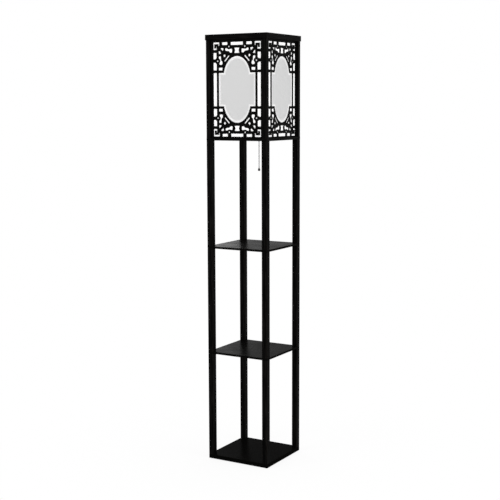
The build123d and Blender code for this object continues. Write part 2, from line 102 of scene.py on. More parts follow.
# Satin black lacquer sprayed on rubberwood: the pores still show as faint lines along the grain,
# the film has a slight orange peel, and the sharp edges are rubbed a little greyer.
lacquer = {
    "film": "#030303",
    "pore": "#191716",
    "rubbed": "#24211e",
    "grainMm": 1.4,  # real pores are about 0.2 mm wide, and are drawn coarser so that they show
    "grainLengthMm": 60,
    "poreSpan": {"From Min": 0.48, "From Max": 0.70},
    "grainRelief": {"Strength": 0.3, "Distance": 0.06 * mm},
    "peelMm": 1.1,
    "peelRelief": {"Strength": 0.25, "Distance": 0.04 * mm},
    "sheenMm": 70,
    "roughness": (0.40, 0.54),
    "edgeRoughness": 0.7,
    "specular": 0.009,  # low, so that a white room leaves it black
}


def satinLacquer(name, grainAxis, finish):
    material, tree, place = newMaterial(name)
    spot = place.outputs["Object"]
    stretch = [scaleFor(finish["grainMm"])] * 3
    stretch[grainAxis] = scaleFor(finish["grainLengthMm"])
    along = addNode(tree, "ShaderNodeMapping", {"Vector": spot, "Scale": stretch})
    grain = addNode(tree, "ShaderNodeTexNoise", {"Vector": along.outputs[0], "Scale": 1.0, "Detail": 3.0})
    sheen = addNode(tree, "ShaderNodeTexNoise", {
        "Vector": spot, "Scale": scaleFor(finish["sheenMm"]), "Detail": 2.0})
    peel = addNode(tree, "ShaderNodeTexNoise", {"Vector": spot, "Scale": scaleFor(finish["peelMm"])})
    pore = addNode(tree, "ShaderNodeMapRange", {"Value": grain.outputs[0], **finish["poreSpan"]})
    tone = addNode(tree, "ShaderNodeMix", {
        0: pore.outputs[0], 6: srgb(finish["film"]), 7: srgb(finish["pore"])}, data_type="RGBA")
    edge = turnedEdge(tree, place)
    rub = addNode(tree, "ShaderNodeMath", {0: edge.outputs[0], 1: sheen.outputs[0]}, operation="MULTIPLY")
    colour = addNode(tree, "ShaderNodeMix", {
        0: rub.outputs[0], 6: tone.outputs[2], 7: srgb(finish["rubbed"])}, data_type="RGBA")
    smooth, dull = finish["roughness"]
    flatGloss = addNode(tree, "ShaderNodeMapRange", {
        "Value": sheen.outputs[0], **mostNoise, "To Min": smooth, "To Max": dull})
    roughness = addNode(tree, "ShaderNodeMix", {
        0: edge.outputs[0], 2: flatGloss.outputs[0], 3: finish["edgeRoughness"]})
    film = addNode(tree, "ShaderNodeBump", {"Height": peel.outputs[0], **finish["peelRelief"]})
    relief = addNode(tree, "ShaderNodeBump", {
        "Height": grain.outputs[0], "Normal": film.outputs[0], **finish["grainRelief"]})
    shader = addNode(tree, "ShaderNodeBsdfPrincipled", {
        "Base Color": colour.outputs[2], "Roughness": roughness.outputs[0], "Normal": relief.outputs[0],
        "Specular IOR Level": finish["specular"]})
    addNode(tree, "ShaderNodeOutputMaterial", {"Surface": shader.outputs[0]})
    return material


uprightLacquer = satinLacquer("satin_lacquer_upright", zAxis, lacquer)
levelLacquerX = satinLacquer("satin_lacquer_across", xAxis, lacquer)
levelLacquerY = satinLacquer("satin_lacquer_deep", yAxis, lacquer)


# Black melamine on chipboard: a printed film pressed with a fine leather-like pebble, a little
# greyer than the lacquer when it is seen flat, as on the tops of the shelves.
melamine = {
    "film": "#030303",
    "speck": "#121110",
    "speckShare": 0.6,
    "speckSpan": {"From Min": 0.25, "From Max": 0.75},
    "pebbleMm": 0.9,  # a real pebble is about half as wide, and is drawn coarser so that it shows
    "pebbleRelief": {"Strength": 0.35, "Distance": 0.05 * mm},
    "cloudMm": 45,
    "roughness": (0.27, 0.33),
    "specular": 0.003,
}
dullMelamine = {**melamine, "specular": 0.0008}  # the base is blacker than the shelves


def blackMelamine(name, finish):
    material, tree, place = newMaterial(name)
    spot = place.outputs["Object"]
    pebble = addNode(tree, "ShaderNodeTexVoronoi", {"Vector": spot, "Scale": scaleFor(finish["pebbleMm"])})
    cloud = addNode(tree, "ShaderNodeTexNoise", {"Vector": spot, "Scale": scaleFor(finish["cloudMm"])})
    speck = addNode(tree, "ShaderNodeMapRange", {"Value": pebble.outputs["Distance"], **finish["speckSpan"]})
    edge = turnedEdge(tree, place)
    light = addNode(tree, "ShaderNodeMath", {0: speck.outputs[0], 1: edge.outputs[0]}, operation="MAXIMUM")
    faint = addNode(tree, "ShaderNodeMath", {
        0: light.outputs[0], 1: finish["speckShare"]}, operation="MULTIPLY")
    colour = addNode(tree, "ShaderNodeMix", {
        0: faint.outputs[0], 6: srgb(finish["film"]), 7: srgb(finish["speck"])}, data_type="RGBA")
    smooth, dull = finish["roughness"]
    roughness = addNode(tree, "ShaderNodeMapRange", {
        "Value": cloud.outputs[0], **mostNoise, "To Min": smooth, "To Max": dull})
    relief = addNode(tree, "ShaderNodeBump", {
        "Height": pebble.outputs["Distance"], **finish["pebbleRelief"]})
    shader = addNode(tree, "ShaderNodeBsdfPrincipled", {
        "Base Color": colour.outputs[2], "Roughness": roughness.outputs[0], "Normal": relief.outputs[0],
        "Specular IOR Level": finish["specular"]})
    addNode(tree, "ShaderNodeOutputMaterial", {"Surface": shader.outputs[0]})
    return material


shelfMelamine = blackMelamine("black_melamine", melamine)
baseMelamine = blackMelamine("dull_black_melamine", dullMelamine)


# Black-dyed MDF cut by laser: the faces are sprayed satin black over a faint felt of wood fibres,
# and the cut edges are duller, with fine burn lines straight through the board.
fretBoard = {
    "film": "#030303",
    "fibre": "#141211",
    "burnt": "#0b0806",
    "fibreMm": 2.2,
    "fibreSpan": {"From Min": 0.48, "From Max": 0.72},
    "cutSpan": {"From Min": 0.9, "From Max": 0.4},  # of the normal through the board: face, then cut edge
    "burnLineMm": 0.8,  # real burn lines are about 0.2 mm apart, and are drawn coarser so that they show
    "burnLineLength": 20,  # times their width
    "burnRelief": {"Strength": 0.4, "Distance": 0.08 * mm},
    "peelMm": 1.0,
    "peelRelief": {"Strength": 0.25, "Distance": 0.04 * mm},
    "sheenMm": 40,
    "roughness": (0.42, 0.56),
    "edgeRoughness": 0.85,
    "specular": 0.015,
}


def laserCutBoard(name, faceAxis, finish):
    material, tree, place = newMaterial(name)
    spot = place.outputs["Object"]
    size = addNode(tree, "ShaderNodeVectorMath", {0: place.outputs["Normal"]}, operation="ABSOLUTE")
    axes = addNode(tree, "ShaderNodeSeparateXYZ", {0: size.outputs[0]})
    cut = addNode(tree, "ShaderNodeMapRange", {"Value": axes.outputs[faceAxis], **finish["cutSpan"]})
    stretch = [scaleFor(finish["burnLineMm"])] * 3
    stretch[faceAxis] = scaleFor(finish["burnLineLength"] * finish["burnLineMm"])
    through = addNode(tree, "ShaderNodeMapping", {"Vector": spot, "Scale": stretch})
    burn = addNode(tree, "ShaderNodeTexNoise", {"Vector": through.outputs[0], "Scale": 1.0, "Detail": 2.0})
    scorched = addNode(tree, "ShaderNodeMath", {0: cut.outputs[0], 1: burn.outputs[0]}, operation="MULTIPLY")
    felt = addNode(tree, "ShaderNodeTexNoise", {
        "Vector": spot, "Scale": scaleFor(finish["fibreMm"]), "Detail": 4.0, "Distortion": 1.5})
    raised = addNode(tree, "ShaderNodeMapRange", {"Value": felt.outputs[0], **finish["fibreSpan"]})
    face = addNode(tree, "ShaderNodeMix", {
        0: raised.outputs[0], 6: srgb(finish["film"]), 7: srgb(finish["fibre"])}, data_type="RGBA")
    colour = addNode(tree, "ShaderNodeMix", {
        0: scorched.outputs[0], 6: face.outputs[2], 7: srgb(finish["burnt"])}, data_type="RGBA")
    sheen = addNode(tree, "ShaderNodeTexNoise", {"Vector": spot, "Scale": scaleFor(finish["sheenMm"])})
    smooth, dull = finish["roughness"]
    faceRoughness = addNode(tree, "ShaderNodeMapRange", {
        "Value": sheen.outputs[0], **mostNoise, "To Min": smooth, "To Max": dull})
    roughness = addNode(tree, "ShaderNodeMix", {
        0: cut.outputs[0], 2: faceRoughness.outputs[0], 3: finish["edgeRoughness"]})
    peel = addNode(tree, "ShaderNodeTexNoise", {"Vector": spot, "Scale": scaleFor(finish["peelMm"])})
    film = addNode(tree, "ShaderNodeBump", {"Height": peel.outputs[0], **finish["peelRelief"]})
    lines = addNode(tree, "ShaderNodeBump", {
        "Height": scorched.outputs[0], "Normal": film.outputs[0], **finish["burnRelief"]})
    shader = addNode(tree, "ShaderNodeBsdfPrincipled", {
        "Base Color": colour.outputs[2], "Roughness": roughness.outputs[0], "Normal": lines.outputs[0],
        "Specular IOR Level": finish["specular"]})
    addNode(tree, "ShaderNodeOutputMaterial", {"Surface": shader.outputs[0]})
    return material


fretFacingY = laserCutBoard("laser_cut_board_front_back", yAxis, fretBoard)
fretFacingX = laserCutBoard("laser_cut_board_sides", xAxis, fretBoard)


# Opal PVC sheet with a pressed rice-paper pattern: long faint fibres in a milky film. Its colour holds
# painted shade: a flat pale grey in the open window. It holds painted light: white and a painted glow along
# the fretwork, in its holes and on its inner face.
opal = {
    "open": "#d3d3d3",
    "whiteAndPaintedLight": "#fdfdfd",
    "fibreMm": 0.7,  # real fibres are about 0.3 mm wide, and are drawn coarser so that they show
    "fibreLengthMm": 22,
    "fibreTone": (0.955, 1.02),
    "fibreRelief": {"Strength": 0.3, "Distance": 0.05 * mm},
    "cloudMm": 12,
    "swayMm": 6,
    "roughness": 0.6,
    "specular": 0.3,
    "paintedGlow": 0.2,  # painted glow: emission where the sheet is painted white, for the light it would pass on
    # the window where the painted shade lies, in millimetres: a wide rectangle, with an oval arch at its
    # head and its foot
    "windowMiddle": 1401,
    "windowHalfWidth": 77.4,
    "windowHalfHeight": 60.25,
    "archHalfWidth": 57.0,
    "archRise": 76.0,
    "archCentre": 43.75,
    "paintedRimMm": 9.0,  # painted light: the sheet is painted paler this near the window's edge
    "paintedRimShare": 0.8,
    "paintedHolesFromMm": 1.0,  # and is painted white, with the painted glow, between these two distances beyond it
    "paintedHolesFullMm": 4.0,
}


def opalSheet(name, finish):
    material, tree, place = newMaterial(name)
    spot = place.outputs["Object"]
    size = addNode(tree, "ShaderNodeVectorMath", {0: spot}, operation="ABSOLUTE")
    axes = addNode(tree, "ShaderNodeSeparateXYZ", {0: size.outputs[0]})
    # on every sheet the smaller of the two level distances runs across it
    across = addNode(tree, "ShaderNodeMath", {0: axes.outputs[0], 1: axes.outputs[1]}, operation="MINIMUM")
    height = addNode(tree, "ShaderNodeMath", {
        0: axes.outputs[2], 1: finish["windowMiddle"] * mm}, operation="SUBTRACT")
    up = addNode(tree, "ShaderNodeMath", {0: height.outputs[0]}, operation="ABSOLUTE")
    beside = addNode(tree, "ShaderNodeMath", {
        0: across.outputs[0], 1: finish["windowHalfWidth"] * mm}, operation="SUBTRACT")
    above = addNode(tree, "ShaderNodeMath", {
        0: up.outputs[0], 1: finish["windowHalfHeight"] * mm}, operation="SUBTRACT")
    square = addNode(tree, "ShaderNodeMath", {
        0: beside.outputs[0], 1: above.outputs[0]}, operation="MAXIMUM")
    rise = addNode(tree, "ShaderNodeMath", {
        0: up.outputs[0], 1: finish["archCentre"] * mm}, operation="SUBTRACT", use_clamp=True)
    squeezed = addNode(tree, "ShaderNodeMath", {
        0: rise.outputs[0], 1: finish["archHalfWidth"] / finish["archRise"]}, operation="MULTIPLY")
    reach = addNode(tree, "ShaderNodeCombineXYZ", {0: across.outputs[0], 1: squeezed.outputs[0]})
    far = addNode(tree, "ShaderNodeVectorMath", {0: reach.outputs[0]}, operation="LENGTH")
    arch = addNode(tree, "ShaderNodeMath", {
        0: far.outputs["Value"], 1: finish["archHalfWidth"] * mm}, operation="SUBTRACT")
    outside = addNode(tree, "ShaderNodeMath", {
        0: square.outputs[0], 1: arch.outputs[0]}, operation="MINIMUM")
    # painted light: paler towards the window's edge, and white in the holes beyond it
    rim = addNode(tree, "ShaderNodeMapRange", {
        "Value": outside.outputs[0], "From Min": -finish["paintedRimMm"] * mm, "From Max": 0.0,
        "To Max": finish["paintedRimShare"]})
    paintedHoles = addNode(tree, "ShaderNodeMapRange", {
        "Value": outside.outputs[0], "From Min": finish["paintedHolesFromMm"] * mm,
        "From Max": finish["paintedHolesFullMm"] * mm})
    outer = addNode(tree, "ShaderNodeMath", {0: rim.outputs[0], 1: paintedHoles.outputs[0]}, operation="MAXIMUM")
    # the inner face, which looks towards the bulb, is plain white, and has the painted glow too
    outward = addNode(tree, "ShaderNodeVectorMath", {
        0: place.outputs["Normal"], 1: spot}, operation="DOT_PRODUCT")
    inner = addNode(tree, "ShaderNodeMath", {0: outward.outputs["Value"], 1: 0.0}, operation="LESS_THAN")
    paintedLightMask = addNode(tree, "ShaderNodeMath", {0: outer.outputs[0], 1: inner.outputs[0]}, operation="MAXIMUM")
    # painted shade grey in the window, painted light white round it and on the inner face
    tone = addNode(tree, "ShaderNodeMix", {
        0: paintedLightMask.outputs[0], 6: srgb(finish["open"]), 7: srgb(finish["whiteAndPaintedLight"])}, data_type="RGBA")
    # the fibres stand upright and sway a little from side to side
    swirl = addNode(tree, "ShaderNodeTexNoise", {
        "Vector": spot, "Scale": scaleFor(finish["cloudMm"]), "Detail": 4.0})
    bent = addNode(tree, "ShaderNodeVectorMath", {
        0: spot, 1: swirl.outputs["Color"], 2: [finish["swayMm"] * mm] * 3}, operation="MULTIPLY_ADD")
    fine, length = scaleFor(finish["fibreMm"]), scaleFor(finish["fibreLengthMm"])
    upright = addNode(tree, "ShaderNodeMapping", {"Vector": bent.outputs[0], "Scale": (fine, fine, length)})
    fibres = addNode(tree, "ShaderNodeTexNoise", {"Vector": upright.outputs[0], "Scale": 1.0, "Detail": 2.0})
    dark, pale = finish["fibreTone"]
    fleck = addNode(tree, "ShaderNodeMapRange", {
        "Value": fibres.outputs[0], **allNoise, "To Min": dark, "To Max": pale})
    colour = addNode(tree, "ShaderNodeVectorMath", {
        0: tone.outputs[2], 1: fleck.outputs[0]}, operation="MULTIPLY")
    relief = addNode(tree, "ShaderNodeBump", {"Height": fibres.outputs[0], **finish["fibreRelief"]})
    # painted glow: the sheet emits light where it is painted white, though no bulb is lit
    paintedGlow = addNode(tree, "ShaderNodeMath", {0: paintedLightMask.outputs[0], 1: finish["paintedGlow"]}, operation="MULTIPLY")
    shader = addNode(tree, "ShaderNodeBsdfPrincipled", {
        "Base Color": colour.outputs[0], "Roughness": finish["roughness"], "Normal": relief.outputs[0],
        "Specular IOR Level": finish["specular"], "Emission Color": (1, 1, 1, 1),
        "Emission Strength": paintedGlow.outputs[0]})
    addNode(tree, "ShaderNodeOutputMaterial", {"Surface": shader.outputs[0]})
    return material


# the diffuser's material, with its painted shade, painted light and painted glow
diffuserSheet = opalSheet("opal_pvc_sheet_painted_light", opal)


# What the metals share: level tool lines and a slightly uneven polish. Real lines are about 0.05 mm
# apart, and are drawn coarser so that they show.
toolLines = {
    "length": 25,  # times their width
    "polish": (0.75, 1.3),  # times the roughness
    "stainSpan": {"From Min": 0.45, "From Max": 0.75},
    "relief": {"Strength": 0.15, "Distance": 0.02 * mm},
}


def polishedMetal(name, finish):
    material, tree, place = newMaterial(name)
    spot = place.outputs["Object"]
    fine, length = scaleFor(finish["lineMm"]), scaleFor(toolLines["length"] * finish["lineMm"])
    level = addNode(tree, "ShaderNodeMapping", {"Vector": spot, "Scale": (length, length, fine)})
    lines = addNode(tree, "ShaderNodeTexNoise", {"Vector": level.outputs[0], "Scale": 1.0, "Detail": 2.0})
    patch = addNode(tree, "ShaderNodeTexNoise", {
        "Vector": spot, "Scale": scaleFor(finish["stainMm"]), "Detail": 3.0})
    worn = addNode(tree, "ShaderNodeMapRange", {"Value": patch.outputs[0], **toolLines["stainSpan"]})
    colour = addNode(tree, "ShaderNodeMix", {
        0: worn.outputs[0], 6: srgb(finish["base"]), 7: srgb(finish["stain"])}, data_type="RGBA")
    smooth, dull = (finish["roughness"] * share for share in toolLines["polish"])
    polish = addNode(tree, "ShaderNodeMapRange", {
        "Value": lines.outputs[0], **allNoise, "To Min": smooth, "To Max": dull})
    relief = addNode(tree, "ShaderNodeBump", {"Height": lines.outputs[0], **toolLines["relief"]})
    shader = addNode(tree, "ShaderNodeBsdfPrincipled", {
        "Base Color": colour.outputs[2], "Metallic": 1.0, "Roughness": polish.outputs[0],
        "Normal": relief.outputs[0]})
    addNode(tree, "ShaderNodeOutputMaterial", {"Surface": shader.outputs[0]})
    return material


# Black nickel plated on a rolled bead chain: a smoky dark mirror, with thin bright rims on the beads
blackNickel = polishedMetal("black_nickel_plate", {
    "base": "#262523", "stain": "#1c1b19", "roughness": 0.36, "lineMm": 0.3, "stainMm": 6})
# Zinc plated on steel in a bath: a cool grey with straw-coloured blotches
zinc = polishedMetal("zinc_plated_steel", {
    "base": "#b3b6b8", "stain": "#a39c84", "roughness": 0.38, "lineMm": 0.5, "stainMm": 9})
# Brass sheet, rolled and left bare: a warm yellow with browner patches
brass = polishedMetal("rolled_brass", {
    "base": "#c79a4c", "stain": "#a5782f", "roughness": 0.3, "lineMm": 0.4, "stainMm": 6})
# Nickel plated on the bulb's pressed cap: a bright silver that is a little cloudy
capMetal = polishedMetal("nickel_plated_cap", {
    "base": "#c4c4c2", "stain": "#a9a8a4", "roughness": 0.27, "lineMm": 0.4, "stainMm": 6})


# What the moulded pieces share: a fine grain from the mould and a little unevenness in the gloss.
# The real grain is about 0.1 mm wide, and is drawn coarser so that it shows.
mouldGrain = {
    "cloudMm": 9,
    "mottleSpan": {"From Min": 0.4, "From Max": 0.7},
    "gloss": (0.85, 1.15),  # times the roughness
    "relief": {"Strength": 0.2, "Distance": 0.02 * mm},
}


def mouldedSurface(name, finish):
    material, tree, place = newMaterial(name)
    spot = place.outputs["Object"]
    grain = addNode(tree, "ShaderNodeTexNoise", {
        "Vector": spot, "Scale": scaleFor(finish["grainMm"]), "Detail": 2.0})
    cloud = addNode(tree, "ShaderNodeTexNoise", {
        "Vector": spot, "Scale": scaleFor(mouldGrain["cloudMm"]), "Detail": 3.0})
    mottle = addNode(tree, "ShaderNodeMapRange", {"Value": cloud.outputs[0], **mouldGrain["mottleSpan"]})
    colour = addNode(tree, "ShaderNodeMix", {
        0: mottle.outputs[0], 6: srgb(finish["base"]), 7: srgb(finish["fleck"])}, data_type="RGBA")
    smooth, dull = (finish["roughness"] * share for share in mouldGrain["gloss"])
    gloss = addNode(tree, "ShaderNodeMapRange", {
        "Value": cloud.outputs[0], "To Min": smooth, "To Max": dull})
    relief = addNode(tree, "ShaderNodeBump", {"Height": grain.outputs[0], **mouldGrain["relief"]})
    shader = addNode(tree, "ShaderNodeBsdfPrincipled", {
        "Base Color": colour.outputs[2], "Roughness": gloss.outputs[0], "Normal": relief.outputs[0],
        "Specular IOR Level": finish["specular"]})
    addNode(tree, "ShaderNodeOutputMaterial", {"Surface": shader.outputs[0]})
    return material


# Phenolic resin, pressed hot: a brown black with a soft gloss
phenolic = mouldedSurface("black_phenolic", {
    "base": "#15110f", "fleck": "#1f1815", "roughness": 0.3, "grainMm": 0.5, "specular": 0.5})
# ABS from a polished mould: a deep black with small highlights
knobPlastic = mouldedSurface("gloss_black_abs", {
    "base": "#050505", "fleck": "#080808", "roughness": 0.3, "grainMm": 0.4, "specular": 0.12})
# Porcelain, pressed, fired and glazed: a shiny cream white with faint clouds
porcelain = mouldedSurface("glazed_porcelain", {
    "base": "#e3ddd0", "fleck": "#d6cebd", "roughness": 0.18, "grainMm": 0.7, "specular": 0.5})
# Opal polycarbonate, blown in a mould: an even milky white with a soft shine
opalGlobe = mouldedSurface("opal_polycarbonate", {
    "base": "#f3f1ec", "fleck": "#f0ede7", "roughness": 0.4, "grainMm": 0.6, "specular": 0.5})
# Rubber, moulded: a matt dark grey with a dusty bloom
footRubber = mouldedSurface("foot_rubber", {
    "base": "#171717", "fleck": "#222221", "roughness": 0.8, "grainMm": 0.6, "specular": 0.3})


# Beech rod, planed round: pale, straight grain with short dark rays and no shine
beechGrain = {
    "early": "#c9a273",
    "ray": "#9a7146",
    "grainMm": 0.7,  # real rays are about 0.2 mm wide, and are drawn coarser so that they show
    "grainLengthMm": 9,
    "relief": {"Strength": 0.3, "Distance": 0.05 * mm},
    "roughness": 0.62,
}


def beechRod(name, finish):
    material, tree, place = newMaterial(name)
    fine, length = scaleFor(finish["grainMm"]), scaleFor(finish["grainLengthMm"])
    along = addNode(tree, "ShaderNodeMapping", {
        "Vector": place.outputs["Object"], "Scale": (fine, length, length)})
    grain = addNode(tree, "ShaderNodeTexNoise", {"Vector": along.outputs[0], "Scale": 1.0, "Detail": 3.0})
    colour = addNode(tree, "ShaderNodeMix", {
        0: grain.outputs[0], 6: srgb(finish["early"]), 7: srgb(finish["ray"])}, data_type="RGBA")
    relief = addNode(tree, "ShaderNodeBump", {"Height": grain.outputs[0], **finish["relief"]})
    shader = addNode(tree, "ShaderNodeBsdfPrincipled", {
        "Base Color": colour.outputs[2], "Roughness": finish["roughness"], "Normal": relief.outputs[0]})
    addNode(tree, "ShaderNodeOutputMaterial", {"Surface": shader.outputs[0]})
    return material


beech = beechRod("beech_rod", beechGrain)
print("materials made:", len(bpy.data.materials))


# The finish of each node, and of the piece that stands for it, by the start of the node's name
nodeFinish = {
    "base_board": baseMelamine, "lower_shelf": shelfMelamine, "upper_shelf": shelfMelamine,
    "lower_post": uprightLacquer, "middle_post": uprightLacquer, "upper_post": uprightLacquer,
    "shade_post": uprightLacquer,
    "shade_rail_front": levelLacquerX, "shade_rail_back": levelLacquerX,
    "cap_rail_front": levelLacquerX, "cap_rail_back": levelLacquerX,
    "shade_rail_left": levelLacquerY, "shade_rail_right": levelLacquerY,
    "cap_rail_left": levelLacquerY, "cap_rail_right": levelLacquerY,
    "fret_panel_front": fretFacingY, "fret_panel_back": fretFacingY,
    "fret_panel_left": fretFacingX, "fret_panel_right": fretFacingX,
    "diffuser": diffuserSheet,
    "cap_dowels": beech, "shade_rail_dowels": beech,
    "shelf_studs": zinc, "shade_studs": zinc, "base_bolts": zinc, "strap_screws": zinc,
    "socket_strap": zinc, "threaded_nipple": zinc, "lock_nut": zinc, "spool_pin": zinc,
    "socket_cup": phenolic, "socket_shell": phenolic, "chain_guide": phenolic,
    "socket_body": porcelain, "switch_spool": porcelain,
    "lamp_thread": brass, "centre_contact": brass,
    "bulb_cap": capMetal, "bulb_tip": capMetal, "bulb_globe": opalGlobe,
    "chain_lead": blackNickel, "pull_chain": blackNickel, "chain_knob": knobPlastic,
    "foot_pads": footRubber,
}
for name, node in nodes.items():
    start = max((key for key in nodeFinish if name.startswith(key)), key=len)
    node.data.materials.clear()
    node.data.materials.append(nodeFinish[start])


# Sharp edges of wood and metal are rounded a little, so that they catch the light
softEdges = {
    "segments": 2,
    "sharpAngle": 30,
    "widthsMm": {  # by a word in the node's name
        "post": 0.5, "rail": 0.6, "board": 0.5, "shelf": 0.5, "socket_strap": 0.4, "lock_nut": 0.5},
    "leftSharp": ("dowels", "studs"),
}


# The faces of a node come apart at their seams, so they are joined first
def soften(node, widthMm):
    seams = node.modifiers.new("joined_seams", "WELD")
    seams.merge_threshold = seamGap
    bevel = node.modifiers.new("softened_edges", "BEVEL")
    bevel.width = widthMm * mm
    bevel.segments = softEdges["segments"]
    bevel.limit_method = "ANGLE"
    bevel.angle_limit = math.radians(softEdges["sharpAngle"])
    slivers = node.modifiers.new("closed_slivers", "WELD")
    slivers.merge_threshold = fineGap


for name, node in nodes.items():
    widths = [widthMm for word, widthMm in softEdges["widthsMm"].items() if word in name]
    if widths and not name.endswith(softEdges["leftSharp"]):
        soften(node, widths[0])
print("finishes and softened edges set")


# Puts a finished piece in the scene in the place of a node, in the node's finish
def standFor(piece, node, body):
    piece.data.materials.clear()
    piece.data.materials.append(nodes[node].data.materials[0])
    bpy.context.scene.collection.objects.link(piece)
    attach(piece, body)
    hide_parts(node)


# Fretwork: the outlines of the CAD panel, with the small radius that the cutter leaves in each
# corner, filled to the panel's thickness and eased along both faces
fretwork = {
    "cornerMm": 1.3,
    "cornerShare": 0.4,  # of the side that it takes up, at most
    "cornerSteps": 3,
    "roundBelow": 155,  # degrees between two sides, because wider ones are part of a curve
    "straight": 0.01,  # a turn of less than this, in radians, is none
    "evenSides": 1.6,  # neighbouring sides of a curve differ in length by less than this many times
    "curveSteps": 4,
    "easedMm": 0.25,
    "easedSteps": 1,
    "edgeMm": 0.1,  # an outline that comes this close to the panel's side is its own edge
    "faceAxis": {"front": yAxis, "back": yAxis, "left": xAxis, "right": xAxis},
}


# Walks the edges between a panel's face and its cut walls: a closed line for its own edge and for each hole
def faceOutlines(mesh, faceAxis, faceLevel):
    shape = bmesh.new()
    shape.from_mesh(mesh)
    bmesh.ops.remove_doubles(shape, verts=shape.verts, dist=seamGap)
    beside = {}
    for edge in shape.edges:
        level = all(abs(vert.co[faceAxis] - faceLevel) < fineGap for vert in edge.verts)
        flat = [abs(face.normal[faceAxis]) > facing for face in edge.link_faces]
        if level and sorted(flat) == [False, True]:
            first, second = edge.verts
            beside.setdefault(first, []).append(second)
            beside.setdefault(second, []).append(first)
    outlines = []
    while beside:
        vert = next(iter(beside))
        line = []
        while vert in beside:
            line.append(vert.co.copy())
            onward = [other for other in beside.pop(vert) if other in beside]
            vert = onward[0] if onward else None
        outlines.append(line)
    shape.free()
    return outlines


# Draws a curve through the short even sides that stand for one in a flat closed line. Where a curve
# ends in a sharp corner, its last side bends on as it did before.
def finerCurves(line):
    finer = []
    gentle = math.radians(180 - fretwork["roundBelow"])
    for place, start in enumerate(line):
        before = line[place - 1]
        end = line[(place + 1) % len(line)]
        after = line[(place + 2) % len(line)]
        finer.append(start)
        side = end - start
        smooth = []
        for other in (start - before, after - end):
            longer, shorter = max(side.length, other.length), min(side.length, other.length)
            bends = fretwork["straight"] < side.angle(other) < gentle
            smooth.append(bends and longer < fretwork["evenSides"] * shorter)
        if not any(smooth):
            continue
        along, middle = side.normalized(), (start + end) / 2
        if not smooth[0]:
            before = after - 2 * (after - middle).dot(along) * along
        if not smooth[1]:
            after = before - 2 * (before - middle).dot(along) * along
        for step in range(1, fretwork["curveSteps"]):
            share = step / fretwork["curveSteps"]
            finer.append((
                2 * start + (end - before) * share + (2 * before - 5 * start + 4 * end - after) * share ** 2
                + (3 * start - before - 3 * end + after) * share ** 3) / 2)
    return finer


# Gives each sharp corner of a flat closed line a small round
def roundCorners(line):
    rounded = []
    for place, corner in enumerate(line):
        before = line[place - 1] - corner
        after = line[(place + 1) % len(line)] - corner
        if math.degrees(before.angle(after)) > fretwork["roundBelow"]:
            rounded.append(corner)
            continue
        room = fretwork["cornerShare"] * min(before.length, after.length)
        reach = min(fretwork["cornerMm"] * mm, room)
        start = corner + before.normalized() * reach
        end = corner + after.normalized() * reach
        for step in range(fretwork["cornerSteps"] + 1):
            share = step / fretwork["cornerSteps"]
            rounded.append(start.lerp(corner, share).lerp(corner.lerp(end, share), share))
    return rounded


for side, faceAxis in fretwork["faceAxis"].items():
    panel = nodes["fret_panel_" + side]
    low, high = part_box("fret_panel_" + side)
    acrossAxis = xAxis if faceAxis == yAxis else yAxis
    thickness = high[faceAxis] - low[faceAxis]
    eased = fretwork["easedMm"] * mm
    sheet = bpy.data.curves.new("fret_outline_" + side, "CURVE")
    sheet.dimensions = "2D"
    sheet.fill_mode = "BOTH"
    sheet.bevel_depth = eased
    sheet.bevel_resolution = fretwork["easedSteps"]
    sheet.offset = -eased
    sheet.extrude = thickness / 2 - eased
    for line in faceOutlines(panel.data, faceAxis, low[faceAxis]):
        flat = [Vector((point[acrossAxis], point[zAxis], 0)) for point in line]
        area = sum(one.x * two.y - two.x * one.y for one, two in zip(flat, flat[1:] + flat[:1]))
        ownEdge = max(point.x for point in flat) > high[acrossAxis] - fretwork["edgeMm"] * mm
        if (area > 0) != ownEdge:  # the panel's own edge runs one way, its holes the other
            flat.reverse()
        rounded = roundCorners(finerCurves(flat))
        spline = sheet.splines.new("POLY")
        spline.points.add(len(rounded) - 1)
        spline.use_cyclic_u = True
        for spot, point in zip(spline.points, rounded):
            spot.co = (*point, 1)
    drawn = bpy.data.objects.new("fret_outline_" + side, sheet)
    mesh = bpy.data.meshes.new_from_object(drawn)
    bpy.data.objects.remove(drawn)
    middle = (low[faceAxis] + high[faceAxis]) / 2
    for vert in mesh.vertices:
        across, up, deep = vert.co
        spot = [0, 0, up]
        spot[acrossAxis], spot[faceAxis] = across, middle - deep
        vert.co = spot
    if faceAxis == xAxis:
        mesh.flip_normals()
    standFor(bpy.data.objects.new("fretwork_" + side, mesh), "fret_panel_" + side, "frame")
print("fretwork made")


# Turns a profile of (radius, height) points in millimetres about an upright line
def turned(shape, profile, sides, centre=(0, 0)):
    rings = []
    for radius, height in profile:
        if radius == 0:
            rings.append([shape.verts.new((centre[0] * mm, centre[1] * mm, height * mm))])
            continue
        ring = []
        for side in range(sides):
            angle = math.tau * side / sides
            across, deep = centre[0] + radius * math.cos(angle), centre[1] + radius * math.sin(angle)
            ring.append(shape.verts.new((across * mm, deep * mm, height * mm)))
        rings.append(ring)
    for lower, upper in zip(rings, rings[1:]):
        for side in range(sides):
            following = (side + 1) % sides
            corners = [lower[side % len(lower)], lower[following % len(lower)],
                       upper[following % len(upper)], upper[side % len(upper)]]
            shape.faces.new(list(dict.fromkeys(corners)))


# Shades a finished shape smooth, apart from edges over the sharp angle
def finishedMesh(name, shape, sharpAngle=50):
    bmesh.ops.recalc_face_normals(shape, faces=shape.faces)
    mesh = bpy.data.meshes.new(name)
    shape.to_mesh(mesh)
    shape.free()
    mesh.shade_smooth()
    mesh.set_sharp_from_angle(angle=math.radians(sharpAngle))
    return bpy.data.objects.new(name, mesh)


# Bead chain: hollow rolled beads on short dumb-bell wires, with a coupling sleeve at the lead
beads = {
    "radius": 1.9, "pitch": 4.6, "sides": 14, "rows": 8, "centre": (22.5, 0),
    "wire": 0.6, "wireSides": 8, "wireOverlap": 0.15,
}
sleeve = {"radius": 2.5, "length": 8.6, "lip": 0.4, "below": 0.3, "sides": 20}


